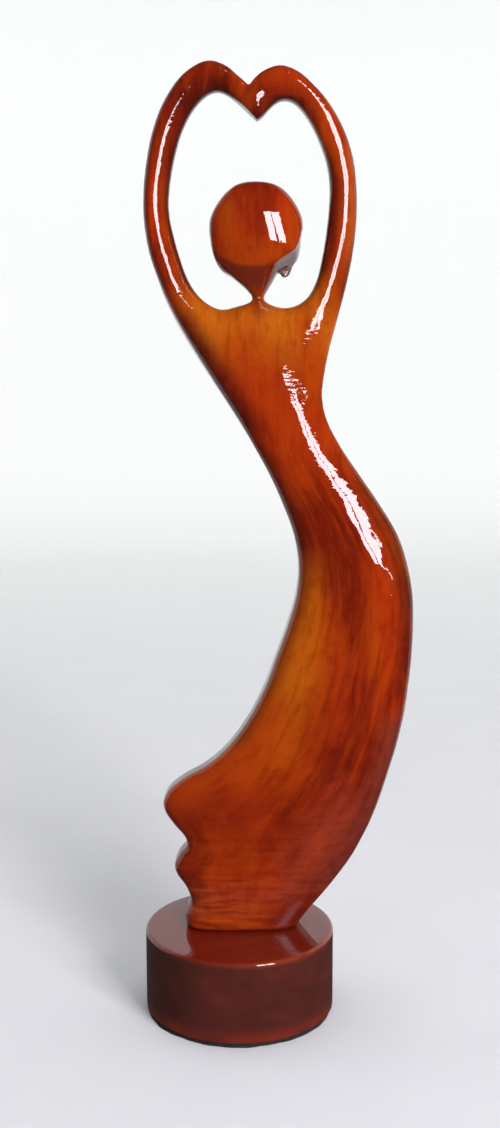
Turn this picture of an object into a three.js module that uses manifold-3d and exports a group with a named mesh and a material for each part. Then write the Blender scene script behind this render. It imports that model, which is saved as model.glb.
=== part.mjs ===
// A slender wooden dancer on a round plinth.
//
// The dancer is carved from one plank: a kneeling foot, a long skirt with a swelling hip, a narrow waist, and two
// arms raised into a loop whose top is a heart. A plain round head stands inside the loop on a very thin neck. The
// plinth is a turned block, and a thin felt pad is glued under it.
//
// Millimetres, +Z up, the front of the figure looks along -Y. The origin is the centre of the pad's underside,
// which is also the plinth's axis. The dancer sways away from that axis to +X at the hip.

import * as THREE from 'three';
import { mergeVertices } from 'three/addons/utils/BufferGeometryUtils.js';
import Module from 'manifold-3d';

// ---- driving dimensions ------------------------------------------------------------------------------------

const PLINTH_DIAMETER = 80;        // the turned block
const PLINTH_TOP = 35.5;           // height of the polished top above the table
const RIM_RADIUS = 1.6;            // softened upper rim
const FOOT_RIM_RADIUS = 0.8;       // softened lower rim
const PLINTH_SEGMENTS = 72;

const PAD_THICKNESS = 1.2;         // black felt
const PAD_RADIUS = 39.6;
const PAD_WAVER = 0.35;            // how far the scissors strayed from the circle
const PAD_SEGMENTS = 60;

const GLUE_LINE = 0.3;             // gap left between glued pieces

const PLANK_THICKNESS = 24;        // front to back of the carved plank
const PLANK_CENTRE_Y = 3.5;        // the plank stands a little behind the plinth's axis
const FACE_SQUARENESS = 2.9;       // exponent of the rounded section: 2 is an ellipse, higher is squarer
const ARM_THICKNESS = 14;          // the arms and shoulders are thinned from the front and the back
const ARM_SQUARENESS = 2.3;
const THIN_FROM = 262;             // the body begins to thin here
const THIN_TO = 297;               // and is as thin as the arms here
const ARM_ROOT_DEPTH = 0.8;        // the arms begin inside the body with this share of their thickness
const ROOT_FROM = 285;             // and grow to all of it between these heights
const ROOT_TO = 300;

const BODY_SLICES = 66;
const BODY_AROUND = 22;
const ARM_STEPS = 26;              // stations in each half of the loop
const ARM_AROUND = 14;
const HEAD_SLICES = 30;
const HEAD_AROUND = 22;
const HEAD_SQUARENESS = 2.3;

// The body's outline, foot to shoulders: height, left edge, right edge.
const FOOT_HEIGHT = PLINTH_TOP + GLUE_LINE;
const BODY_OUTLINE = [
  [FOOT_HEIGHT, -22.4, 24.6],      // flat foot on the plinth
  [41, -22.9, 28.0],
  [48, -20.6, 34.0],               // nick above the foot
  [54.5, -23.7, 39.5],
  [61, -27.4, 44.4],               // second bulge
  [67, -25.4, 48.5],
  [71.5, -22.3, 51.1],             // notch under the knee
  [75, -23.3, 53.0],
  [81, -28.3, 56.0],
  [88, -31.9, 58.9],               // tip of the knee
  [94.3, -30.4, 61.0],
  [100.8, -22.6, 63.0],
  [107.3, -10.9, 64.9],
  [114, -4.3, 66.6],
  [127, 4.8, 69.3],
  [140, 11.1, 71.1],
  [152.5, 15.9, 72.3],
  [165.3, 20.5, 72.8],             // fullest part of the skirt
  [178, 24.2, 72.4],
  [190.5, 25.3, 70.2],             // deepest hollow of the back
  [203, 23.4, 65.9],
  [215.5, 18.9, 58.6],
  [228, 13.3, 49.9],
  [240, 6.7, 41.8],
  [252, -0.7, 35.8],
  [259, -5.3, 34.4],               // waist
  [265, -9.1, 34.8],
  [277, -16.9, 36.8],
  [287.5, -23.0, 39.6],
  [291.0, -24.8, 40.6],
  [293.2, -25.9, 41.2],
  [294.6, -26.6, 41.5],            // shoulder line
];
const SHOULDER_ROUND = 3;          // radius where the front and the back turn over into the shoulder line

// Each half of the loop, shoulder to heart: outer x, outer z, inner x, inner z.
const LEFT_ARM = [
  [-22.7, 287.0, -3.0, 287.0],     // buried in the shoulder
  [-26.6, 294.6, -6.8, 294.8],
  [-29.4, 299.8, -14.6, 299.4],
  [-32.0, 306.5, -19.2, 306.0],
  [-35.6, 318.5, -24.0, 318.5],
  [-37.4, 331.0, -27.0, 331.0],
  [-37.3, 342.0, -26.9, 342.0],
  [-35.9, 353.5, -25.1, 353.0],
  [-33.3, 365.0, -22.2, 363.2],
  [-28.6, 376.3, -17.2, 372.8],
  [-20.7, 386.8, -12.4, 377.9],
  [-11.0, 391.6, -7.7, 379.8],
  [-4.2, 389.6, -3.6, 378.7],
  [0.4, 385.9, 1.8, 374.7],
  [4.9, 381.8, 8.2, 368.7],        // cleft and point of the heart
];
const RIGHT_ARM = [
  [39.5, 287.0, 15.0, 287.0],
  [41.5, 294.6, 19.4, 294.8],
  [43.1, 300.4, 28.4, 299.6],
  [45.0, 308.5, 32.4, 307.5],
  [46.9, 318.5, 34.9, 318.5],
  [47.9, 329.5, 36.3, 329.5],
  [47.9, 341.5, 37.1, 341.5],
  [46.5, 353.5, 35.8, 352.2],
  [42.8, 364.8, 32.6, 361.2],
  [36.5, 375.6, 28.9, 368.6],
  [30.9, 382.0, 25.9, 372.8],
  [24.4, 387.7, 22.8, 375.7],
  [17.6, 389.9, 19.6, 376.7],
  [11.6, 388.2, 15.1, 374.9],
  [7.9, 385.4, 11.8, 371.6],
  [4.9, 381.8, 8.2, 368.7],
];

// Head and neck: height, left edge, right edge, front, back.
const HEAD_OUTLINE = [
  [291.6, -9.0, 21.0, -3.2, 10.2],  // spreads into the shoulders
  [294.6, -4.6, 17.6, -2.4, 9.4],
  [297.2, 2.6, 12.8, -1.2, 8.2],
  [299.3, 6.0, 10.7, 0.2, 6.8],     // thinnest part of the neck
  [303.0, 3.2, 13.0, -2.2, 9.8],
  [308.2, -3.0, 17.6, -6.0, 13.2],
  [311.6, -7.3, 22.6, -8.4, 14.6],  // edge of the chin
  [316.0, -9.5, 25.1, -9.3, 15.2],
  [321.6, -10.7, 26.3, -9.8, 15.5],
  [327.0, -11.1, 26.6, -9.9, 15.5],
  [332.5, -10.0, 25.5, -9.6, 15.2],
  [337.6, -6.8, 22.7, -8.5, 14.2],
  [341.2, -3.0, 19.2, -6.8, 12.4],
  [343.4, 2.0, 15.0, -4.0, 9.6],
  [344.1, 7.2, 10.0, -0.4, 5.2],    // crown
];

// ---- helpers -----------------------------------------------------------------------------------------------

const wasm = await Module();
wasm.setup();

// A smooth run of rows through a table: every column follows its own curve, and the rows stay paired.
function smoothRows(table, count) {
  const columns = table[0].map((_, c) => new THREE.SplineCurve(
    table.map((row, i) => new THREE.Vector2(i, row[c]))));
  return Array.from({ length: count + 1 }, (_, k) => columns.map((curve) => curve.getPoint(k / count).y));
}

// A rounded section between two edge points, with its own depth to the front and to the back.
function section(left, right, front, back, squareness, around) {
  const middle = left.clone().add(right).multiplyScalar(0.5);
  const half = right.clone().sub(left).multiplyScalar(0.5);
  const midDepth = (front + back) / 2;
  const halfDepth = (back - front) / 2;
  const bend = (value) => Math.sign(value) * Math.abs(value) ** (2 / squareness);
  return Array.from({ length: around }, (_, k) => {
    const angle = 2 * Math.PI * k / around;
    const across = bend(Math.cos(angle));
    const point = middle.clone().addScaledVector(half, across);
    return new THREE.Vector3(point.x, midDepth + halfDepth * bend(Math.sin(angle)), point.y);
  });
}

// Skins a list of rings and closes both ends.
function loft(rings) {
  const around = rings[0].length;
  const points = rings.flat();
  const faces = [];
  for (let i = 0; i + 1 < rings.length; i += 1) {
    for (let k = 0; k < around; k += 1) {
      const a = i * around + k;
      const b = i * around + (k + 1) % around;
      faces.push(a, b, b + around, a, b + around, a + around);
    }
  }
  [0, rings.length - 1].forEach((i, end) => {
    const centre = rings[i].reduce((sum, p) => sum.add(p), new THREE.Vector3()).divideScalar(around);
    points.push(centre);
    for (let k = 0; k < around; k += 1) {
      const a = i * around + k;
      const b = i * around + (k + 1) % around;
      faces.push(...(end ? [a, b, points.length - 1] : [b, a, points.length - 1]));
    }
  });
  const geometry = new THREE.BufferGeometry();
  geometry.setAttribute('position', new THREE.Float32BufferAttribute(points.flatMap((p) => [p.x, p.y, p.z]), 3));
  geometry.setIndex(faces);
  return outward(geometry);
}

// Turns the faces round where they enclose a negative volume.
function outward(geometry) {
  const p = geometry.getAttribute('position');
  const index = Array.from(geometry.getIndex().array);
  const corner = [new THREE.Vector3(), new THREE.Vector3(), new THREE.Vector3()];
  let volume = 0;
  for (let i = 0; i < index.length; i += 3) {
    corner.forEach((v, k) => v.fromBufferAttribute(p, index[i + k]));
    volume += corner[0].dot(corner[1].cross(corner[2]));
  }
  if (volume < 0) {
    for (let i = 0; i < index.length; i += 3) [index[i], index[i + 1]] = [index[i + 1], index[i]];
    geometry.setIndex(index);
  }
  return geometry;
}

function weld(geometry) {
  const bare = geometry.clone();
  bare.deleteAttribute('normal');
  bare.deleteAttribute('uv');
  return mergeVertices(bare, 1e-4);
}

function solid(geometry) {
  const welded = weld(geometry);
  return new wasm.Manifold(new wasm.Mesh({
    numProp: 3,
    vertProperties: new Float32Array(welded.getAttribute('position').array),
    triVerts: new Uint32Array(welded.getIndex().array),
  }));
}

function toGeometry(manifold) {
  const mesh = manifold.getMesh();
  const geometry = new THREE.BufferGeometry();
  geometry.setAttribute('position', new THREE.Float32BufferAttribute(mesh.vertProperties, 3));
  geometry.setIndex(Array.from(mesh.triVerts));
  return geometry;
}

// ---- the dancer --------------------------------------------------------------------------------------------

// Full thickness in the skirt, easing to the thickness of the arms at the shoulders and rounded over at the top.
function bodySolid() {
  const top = BODY_OUTLINE[BODY_OUTLINE.length - 1][0];
  const rings = smoothRows(BODY_OUTLINE, BODY_SLICES).map(([height, left, right]) => {
    const ease = THREE.MathUtils.smoothstep(height, THIN_FROM, THIN_TO);
    const turn = THREE.MathUtils.clamp((height - top) / SHOULDER_ROUND + 1, 0, 1);
    const inset = SHOULDER_ROUND * (1 - Math.sqrt(1 - turn * turn));
    const half = THREE.MathUtils.lerp(PLANK_THICKNESS, ARM_THICKNESS, ease) / 2 - inset;
    const squareness = THREE.MathUtils.lerp(FACE_SQUARENESS, ARM_SQUARENESS, ease);
    return section(new THREE.Vector2(left, height), new THREE.Vector2(right, height),
      PLANK_CENTRE_Y - half, PLANK_CENTRE_Y + half, squareness, BODY_AROUND);
  });
  return solid(loft(rings));
}

// Both arms are one ribbon: up the left side, round its lobe, through the heart's point and down the right side.
function loopSolid() {
  const left = smoothRows(LEFT_ARM, ARM_STEPS);
  const right = smoothRows(RIGHT_ARM, ARM_STEPS).reverse().slice(1);
  const rings = [...left, ...right].map(([outerX, outerZ, innerX, innerZ]) => {
    const grown = THREE.MathUtils.smoothstep((outerZ + innerZ) / 2, ROOT_FROM, ROOT_TO);
    const half = THREE.MathUtils.lerp(ARM_ROOT_DEPTH, 1, grown) * ARM_THICKNESS / 2;
    return section(new THREE.Vector2(outerX, outerZ), new THREE.Vector2(innerX, innerZ),
      PLANK_CENTRE_Y - half, PLANK_CENTRE_Y + half, ARM_SQUARENESS, ARM_AROUND);
  });
  return solid(loft(rings));
}

function headSolid() {
  const rings = smoothRows(HEAD_OUTLINE, HEAD_SLICES).map(([height, left, right, front, back]) => section(
    new THREE.Vector2(left, height), new THREE.Vector2(right, height), front, back, HEAD_SQUARENESS, HEAD_AROUND));
  return solid(loft(rings));
}

// ---- the plinth and its pad --------------------------------------------------------------------------------

function roundedCorner(radius, x, z, from) {
  return Array.from({ length: 5 }, (_, k) => {
    const angle = from + (Math.PI / 2) * (k / 4);
    return new THREE.Vector2(x + radius * Math.cos(angle), z + radius * Math.sin(angle));
  });
}

function plinthGeometry() {
  const radius = PLINTH_DIAMETER / 2;
  const bottom = PAD_THICKNESS + GLUE_LINE;
  const profile = [
    new THREE.Vector2(0, bottom),
    ...roundedCorner(FOOT_RIM_RADIUS, radius - FOOT_RIM_RADIUS, bottom + FOOT_RIM_RADIUS, -Math.PI / 2),
    ...roundedCorner(RIM_RADIUS, radius - RIM_RADIUS, PLINTH_TOP - RIM_RADIUS, 0),
    new THREE.Vector2(0, PLINTH_TOP),
  ];
  const geometry = new THREE.LatheGeometry(profile, PLINTH_SEGMENTS);
  geometry.rotateX(Math.PI / 2);
  return geometry;
}

// The pad was cut out with scissors, so its edge wanders and turns in short straight snips.
function padGeometry() {
  const outline = Array.from({ length: PAD_SEGMENTS }, (_, k) => {
    const angle = 2 * Math.PI * k / PAD_SEGMENTS;
    const stray = Math.sin(7 * angle + 0.6) * 0.6 + Math.sin(13 * angle + 2.1) * 0.4;
    const radius = PAD_RADIUS + PAD_WAVER * stray;
    return new THREE.Vector2(radius * Math.cos(angle), radius * Math.sin(angle));
  });
  return new THREE.ExtrudeGeometry(new THREE.Shape(outline), { depth: PAD_THICKNESS, bevelEnabled: false });
}

function piece(name, geometry, color, roughness) {
  const material = new THREE.MeshStandardMaterial({ color, roughness, metalness: 0 });
  const mesh = new THREE.Mesh(outward(weld(geometry)), material);
  mesh.name = name;
  return mesh;
}

const figurine = new THREE.Group();
figurine.add(piece('figure', toGeometry(bodySolid().add(loopSolid()).add(headSolid())), 0xa8451a, 0.18));
figurine.add(piece('plinth', plinthGeometry(), 0x54241f, 0.15));
figurine.add(piece('felt_pad', padGeometry(), 0x14110f, 0.95));

export default figurine;
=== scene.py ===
# %% [markdown]
# # A carved dancer on a turned plinth
#
# The real thing is a table figurine about 39 cm tall. One plank of hardwood was sawn to the outline of a
# kneeling dancer, its edges were rounded with rasp and sandpaper, and it was stained like a sunburst
# guitar: amber in the light places, red-brown in the rest, almost black-red along some edges. Thick
# varnish makes everything shine. The dancer stands on a round plinth with a scrap of black felt under it.
# This script first loads the plain model that fixes the sizes, then makes the three pieces again with
# their fine shape, and finishes each one.

# %% Load the frame
from math import cos, pi, radians, sin

import bpy
import numpy as np
from mathutils import Matrix, Vector


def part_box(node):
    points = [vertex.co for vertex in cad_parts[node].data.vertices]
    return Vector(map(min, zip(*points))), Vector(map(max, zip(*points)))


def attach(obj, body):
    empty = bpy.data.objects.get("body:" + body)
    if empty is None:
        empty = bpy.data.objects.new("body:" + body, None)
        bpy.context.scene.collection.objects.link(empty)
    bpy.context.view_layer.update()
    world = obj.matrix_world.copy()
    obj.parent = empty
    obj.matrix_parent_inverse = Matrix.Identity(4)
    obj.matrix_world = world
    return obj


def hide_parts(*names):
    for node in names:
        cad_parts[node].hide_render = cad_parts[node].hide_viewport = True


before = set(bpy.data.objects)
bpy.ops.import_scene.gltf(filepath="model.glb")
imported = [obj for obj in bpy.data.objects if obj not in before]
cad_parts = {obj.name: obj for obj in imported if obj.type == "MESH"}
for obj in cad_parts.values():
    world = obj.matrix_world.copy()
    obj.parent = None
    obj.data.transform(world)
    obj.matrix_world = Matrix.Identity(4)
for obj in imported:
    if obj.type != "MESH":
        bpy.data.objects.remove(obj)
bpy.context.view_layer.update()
print("pieces in the frame:", ", ".join(sorted(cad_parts)))


# %% Read the sizes of the plain pieces
def corners_mm(node):
    """The lowest and the highest corner of one plain piece, in millimetres."""
    return [[round(1000 * float(v), 2) for v in corner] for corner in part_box(node)]


figure_low, figure_high = corners_mm("figure")
plinth_low, plinth_high = corners_mm("plinth")
foot_level = figure_low[2]
plinth_radius = plinth_high[0]
plinth_bottom, plinth_top = plinth_low[2], plinth_high[2]
felt_thick = corners_mm("felt_pad")[1][2]
print(f"figure from {foot_level} to {figure_high[2]} mm above the table, felt {felt_thick} mm thick")
print(f"plinth from {plinth_bottom} to {plinth_top} mm, its radius {plinth_radius} mm")

# %% [markdown]
# ## The camera
#
# The photograph was taken from the height of the chest, about half a metre away and looking slightly
# down: the top of the plinth shows, and so do the undersides of the raised arms. The two rims of the
# plinth are circles, and how flat each one looks fixes the distance, the height and the tilt. The focal
# length is in pixels of the photograph, so it becomes millimetres through the height of the frame.

# %% Place the camera
PHOTO_HEIGHT = 1128      # pixels
FOCAL_PIXELS = 1300.0
SENSOR_MM = 36.0
CAMERA_PLACE = Vector((0.0049, -0.5327, 0.2624))
CAMERA_TILT = 7.6        # degrees down
CAMERA_ROLL = -0.15

camera_data = bpy.data.cameras.new("camera")
camera_data.sensor_width = SENSOR_MM
camera_data.lens = SENSOR_MM * FOCAL_PIXELS / PHOTO_HEIGHT
camera = bpy.data.objects.new("camera", camera_data)
bpy.context.scene.collection.objects.link(camera)
tilt = Matrix.Rotation(radians(90 - CAMERA_TILT), 4, "X")
roll = Matrix.Rotation(radians(CAMERA_ROLL), 4, "Z")
camera.matrix_world = Matrix.Translation(CAMERA_PLACE) @ tilt @ roll
bpy.context.scene.camera = camera
print(f"lens {camera_data.lens:.1f} mm, {-CAMERA_PLACE.y * 100:.0f} cm away")

# %% [markdown]
# ## The sawn outline
#
# A carver draws the dancer on the plank before sawing. Three pencil lines are enough: the left edge and
# the right edge, each from the foot up to the cleft of the heart, and the edge of the hole between the
# arms. A few points on each line are joined with a smooth curve, as a bent lath would join them. The two
# outer lines end at the cleft and the inner one starts and ends at the heart's point, so those two
# corners stay crisp while everything else flows. Each point is a place across the plank and a height
# above the table, in millimetres.

# %% Draw the three edges
LEFT_EDGE = [
    (-22.4, 30.0), (-22.6, 36.0), (-22.9, 41.5), (-20.9, 47.5), (-22.8, 53.0), (-26.6, 58.5), (-27.6, 62.0),
    (-25.3, 67.3), (-22.5, 70.6), (-22.8, 74.0), (-27.5, 80.0), (-31.4, 85.8), (-32.0, 90.0), (-29.8, 94.8),
    (-23.8, 99.8), (-13.8, 105.6), (-5.2, 113.2), (3.8, 125.5), (10.9, 139.5), (15.7, 152.5), (20.2, 165.3),
    (23.8, 178.0), (24.9, 190.5), (23.0, 203.0), (18.5, 215.5), (12.9, 228.0), (6.3, 240.0), (-1.1, 252.0),
    (-9.2, 264.5), (-17.3, 277.0), (-23.9, 288.0), (-29.4, 299.0), (-32.3, 307.0), (-35.6, 318.5),
    (-37.4, 331.0), (-37.3, 342.0), (-35.9, 353.5), (-33.3, 365.0), (-28.6, 376.3), (-20.7, 386.6),
    (-11.2, 391.4), (-4.2, 389.5), (0.4, 385.7), (4.9, 381.6)]
RIGHT_EDGE = [
    (22.0, 30.0), (24.4, 35.5), (28.2, 41.0), (34.0, 48.0), (39.4, 54.5), (44.3, 61.0), (48.8, 67.7),
    (52.4, 74.5), (55.5, 81.0), (58.3, 88.0), (60.8, 95.5), (63.4, 104.0), (66.3, 114.0), (69.2, 127.0),
    (71.0, 140.0), (72.2, 152.5), (72.7, 165.3), (72.3, 178.0), (70.1, 190.5), (65.9, 203.0), (58.5, 215.5),
    (49.9, 228.0), (41.8, 240.0), (36.2, 251.0), (34.4, 260.0), (35.3, 269.0), (37.4, 279.5), (39.9, 288.7),
    (42.7, 299.0), (45.1, 309.0), (46.9, 319.0), (47.9, 329.5), (47.9, 341.5), (46.5, 353.5), (42.8, 364.8),
    (36.5, 375.6), (30.9, 381.9), (24.4, 387.3), (17.6, 389.6), (11.6, 388.0), (7.7, 385.0), (4.9, 381.6)]
HOLE_EDGE = [
    (8.2, 368.6), (5.2, 371.5), (1.9, 374.6), (-1.7, 377.3), (-5.4, 379.4), (-8.4, 379.8), (-12.4, 377.9),
    (-17.2, 372.8), (-21.4, 365.2), (-24.0, 357.5), (-26.2, 347.5), (-27.3, 338.0), (-27.0, 331.5),
    (-25.5, 324.3), (-23.3, 316.3), (-20.4, 308.6), (-17.1, 302.6), (-13.4, 298.4), (-10.0, 296.1),
    (-6.6, 294.9), (-2.2, 295.3), (3.0, 296.1), (8.4, 296.4), (12.6, 296.1), (16.2, 295.4), (20.0, 295.4),
    (24.8, 296.8), (28.8, 300.2), (32.0, 306.4), (34.5, 316.8), (36.2, 328.0), (37.1, 339.0), (36.9, 346.0),
    (35.5, 353.4), (32.6, 361.2), (29.4, 367.6), (26.2, 372.2), (23.2, 375.2), (19.8, 376.6), (16.6, 375.9),
    (13.0, 373.0), (10.4, 370.2), (8.2, 368.6)]


def flowing(points, spacing=1.2):
    """A centripetal Catmull-Rom curve through the points, in short chords."""
    points = np.array(points)
    points = np.vstack([2 * points[0] - points[1], points, 2 * points[-1] - points[-2]])
    curve = [points[1]]
    for p0, p1, p2, p3 in zip(points, points[1:], points[2:], points[3:]):
        knots = np.cumsum([0, *(np.linalg.norm(b - a) ** 0.5 for a, b in ((p0, p1), (p1, p2), (p2, p3)))])
        t0, t1, t2, t3 = knots
        steps = max(2, round(np.linalg.norm(p2 - p1) / spacing))
        for t in np.linspace(t1, t2, steps + 1)[1:]:
            a = (p0 * (t1 - t) + p1 * (t - t0)) / (t1 - t0)
            b = (p1 * (t2 - t) + p2 * (t - t1)) / (t2 - t1)
            c = (p2 * (t3 - t) + p3 * (t - t2)) / (t3 - t2)
            d = (a * (t2 - t) + b * (t - t0)) / (t2 - t0)
            e = (b * (t3 - t) + c * (t - t1)) / (t3 - t1)
            curve.append((d * (t2 - t) + e * (t - t1)) / (t2 - t1))
    return np.array(curve)


left_edge, right_edge, hole_edge = flowing(LEFT_EDGE), flowing(RIGHT_EDGE), flowing(HOLE_EDGE)
print("chords in the edges:", len(left_edge), len(right_edge), len(hole_edge))

# %% [markdown]
# ## Rounding by distance
#
# A rasp takes most wood off right at the edge and less and less further in. So the carving is described
# as a field over the plank: at each place it multiplies the distances to the three edges, each one capped
# so that an edge far away no longer counts. The product is zero on every edge, swells smoothly between
# two edges, and its square root is the height of a round arm or a softly crowned skirt. The cap sets how
# far in the rounding reaches. Nothing has to be said about the shoulders or the heart, where one form
# becomes two: the same product holds there.
#
# A hand doesn't round both sides of a limb alike, so the crest leans: on the left arm outwards, on the
# right arm inwards and more so towards its root, and on the torso to the left. Where the crest lies
# decides where a long reflection runs. Near the foot only the last millimetres are rounded, and the faces
# stay flat.

# %% Measure distances over the plank
CELL = 0.83             # millimetres, the fineness of the carving
REACH = 9.0             # how far in from an edge the rounding goes
FOOT_REACH = 4.0        # and how far near the foot
ARM_WIDTH = 12.0        # a limb wider than this counts less and less as an arm
LEFT_ARM_LEAN = 0.9     # leans run from -1, crest on the outer edge, to 1, crest on the inner edge
LEFT_HEART_LEAN = 0.8
RIGHT_ARM_LEAN = -0.3
RIGHT_ROOT_LEAN = -0.6
RIGHT_HEART_LEAN = 0.1
TORSO_LEAN = 0.5


def distance_to(edge, x, z):
    """How far each place is from the nearest chord of the edge."""
    nearest = np.full(np.shape(x), 1e9)
    for (ax, az), (bx, bz) in zip(edge, edge[1:]):
        run, rise = bx - ax, bz - az
        along = np.clip(((x - ax) * run + (z - az) * rise) / (run * run + rise * rise), 0, 1)
        nearest = np.minimum(nearest, (x - ax - along * run) ** 2 + (z - az - along * rise) ** 2)
    return np.sqrt(nearest)


def is_inside(outline, x, z):
    """Whether a ray from each place crosses the outline an odd number of times."""
    odd = np.zeros(np.shape(x), bool)
    for (ax, az), (bx, bz) in zip(outline, np.roll(outline, -1, axis=0)):
        if az != bz:
            odd ^= ((az > z) != (bz > z)) & (x < ax + (z - az) * (bx - ax) / (bz - az))
    return odd


def smooth_step(value, low, high):
    """A smooth rise from 0 at low to 1 at high."""
    part = np.clip((value - low) / (high - low), 0, 1)
    return part * part * (3 - 2 * part)


def capped(distance, reach):
    """The distance, levelling off at the reach."""
    return reach * (1 - np.exp(-distance / reach))


print(f"the cap at 20 mm from an edge: {capped(20.0, REACH):.1f} mm")


# %% Multiply the distances
def swelling(x, z):
    """The square of the carving's height over the plank: zero on the edges, negative off the wood."""
    to_left, to_right, to_hole = (distance_to(e, x, z) for e in (left_edge, right_edge, hole_edge))
    wood = is_inside(np.vstack([left_edge, right_edge[::-1]]), x, z) & ~is_inside(hole_edge, x, z)
    lean = 0.0
    root = 2 - smooth_step(z, 300, 335) - smooth_step(z, 285, 305)
    right_lean = RIGHT_ARM_LEAN + RIGHT_ROOT_LEAN * root
    for to_outer, amount, heart_amount in ((to_left, LEFT_ARM_LEAN, LEFT_HEART_LEAN),
                                           (to_right, right_lean, RIGHT_HEART_LEAN)):
        arm = np.exp(-np.clip(to_outer + to_hole - ARM_WIDTH, 0, None) / 5)
        amount = amount + (heart_amount - amount) * smooth_step(z, 358, 380)
        lean = lean + amount * arm * (to_hole - to_outer) / (to_hole + to_outer)
    torso = 0.8 * smooth_step(z, 175, 210) + 0.2 * smooth_step(z, 240, 262)
    torso = torso * (1 - smooth_step(z, 270, 288))
    lean = lean + TORSO_LEAN * torso * (to_right - to_left) / (to_right + to_left)
    reach = REACH - (REACH - FOOT_REACH) * (1 - smooth_step(z, 45, 85))
    height = capped(to_left, reach) * capped(to_right, reach) * capped(to_hole, reach) / reach
    height = height * (REACH / reach) ** 2 * (1 + np.clip(lean, -1, 1))
    return np.where(wood, height, -height)


plank_x = np.arange(-41.0, 76.0, CELL)
plank_z = np.arange(33.0, 395.0, CELL)
X, Z = np.meshgrid(plank_x, plank_z, indexing="ij")
swell = swelling(X, Z)
print(f"plank sampled at {swell.size} points, highest swelling {np.sqrt(swell.max()):.1f} mm")

# %% [markdown]
# ## From plank to solid
#
# The plank keeps a band of its sawn edge, a few millimetres of flat wall all round, and the swelling
# rises in front of the band and behind it. The hand is not a machine, so a few slow waves about a tenth
# of a millimetre high run over the faces: they make the reflections wander as they do on the real one.
#
# Three larger forms are carved into the faces: a hollow at the waist, a low ridge that runs from the
# waist down to the hip, and a swelling under the cleft of the heart. The left edge is also pared back a
# little in front, so that only a narrow strip of the sawn side shows from there. Last, the foot is cut
# off flat for the plinth.

# %% Plan the hollows and ridges
PLANK_CENTRE = 3.5       # behind the plinth's axis
WAIST_HOLLOW = 3.0
HEART_SWELLING = 2.2
INNER_START = 5.0        # the swelling at which a hollow has half its depth
RIDGE_WIDTH = 5.0
# the ridge's path is pairs of a height and a place across, its rise pairs of a height and a rise
RIDGE_PATH = [(190, 57), (202, 51), (212, 46), (222, 40.5), (232, 35), (242, 29.5), (258, 22), (275, 15)]
RIDGE_RISE = [(180, 0), (192, 0.7), (204, 0.52), (218, 0.3), (235, 0.35), (246, 0.5), (256, 0.8),
              (264, 0.7), (275, 0)]
rng = np.random.default_rng(7)


def hand_waves(x, z, count=9, height=0.07):
    """Slow waves in random directions, as a hand leaves them; lengths and height in millimetres."""
    total = np.zeros(np.broadcast(x, z).shape)
    for _ in range(count):
        length = rng.uniform(11, 34)
        turn = rng.uniform(0, pi)
        phase = rng.uniform(0, 2 * pi)
        total = total + np.sin(2 * pi * (x * cos(turn) + z * sin(turn)) / length + phase)
    return total * height / np.sqrt(count)


inner = np.clip(swell, 0, None)
inner = inner / (inner + INNER_START)
hollow_waist = WAIST_HOLLOW * smooth_step(Z, 222, 256) * (1 - smooth_step(Z, 256, 288)) * inner
swollen_heart = HEART_SWELLING * np.exp(-((X - 4) / 5) ** 2) * smooth_step(Z, 364, 374)
ridge_x, ridge_rise = (np.interp(Z, *zip(*pairs)) for pairs in (RIDGE_PATH, RIDGE_RISE))
ridge = ridge_rise * np.exp(-((X - ridge_x) / RIDGE_WIDTH) ** 2)
waves = hand_waves(X, Z) + hollow_waist - swollen_heart - ridge
print(f"carved into the faces: from {waves.min():.1f} mm, a rise, to {waves.max():.1f} mm, a hollow")

# %% Fill a block of cells with the body
HALF_BAND = 3.4           # half the width of the flat sawn edge
HALF_BAND_ARMS = 2.0
FOOT_ROUNDING = 1.4


def blend_low(a, b, radius):
    """The lower of two surfaces, with the corner between them filled."""
    overlap = np.clip(radius - np.abs(a - b), 0, None) / radius
    return np.minimum(a, b) - overlap ** 2 * radius / 4


def blend_high(a, b, radius):
    """The higher of two surfaces, with the corner rounded off."""
    return -blend_low(-a, -b, radius)


plank_y = np.arange(-12.5, 20.0, CELL)
half_band = HALF_BAND - (HALF_BAND - HALF_BAND_ARMS) * smooth_step(Z, 284, 312)
depth = np.abs(plank_y[None, :, None] - PLANK_CENTRE) - half_band[:, None, :]
depth = np.clip(depth + waves[:, None, :] * (depth > 0), 0, None)
pared = smooth_step(Z, 108, 130) * (0.2 + 0.9 * smooth_step(Z, 235, 255)) * (1 - smooth_step(Z, 298, 318))
pared = pared * np.exp(-distance_to(left_edge, X, Z) / 5)
pared = pared[:, None, :] * smooth_step(-plank_y, -8, 1)[None, :, None]
swell_here = swell[:, None, :] - REACH * pared
body = (depth ** 2 - swell_here) / np.sqrt(REACH ** 2 + 3 * np.clip(swell_here, 0, None))
below_foot = np.broadcast_to(foot_level - plank_z[None, None, :], body.shape)
body = blend_high(body, below_foot, FOOT_ROUNDING)
print("cells in the block:", body.size)

# %% [markdown]
# ## The head
#
# The head is a plain ball, a little flattened in front like a thick button, with no face. It is drawn
# with two more pencil lines: its whole outline down to the neck, and the lower rim of its domed front,
# which ends in a crisp chin line. Below the chin the wood falls back to a neck thinner than a pencil,
# gently in the middle, where it makes a cone, and steeply at the sides. A small lobe of the back hangs
# lower on one side, left by the rasp.
#
# Front and back are heights over the plank, so each is one sum of squares for the ball and one slope
# towards the neck. Where two surfaces meet, a soft maximum rounds the rim between them.

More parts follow.
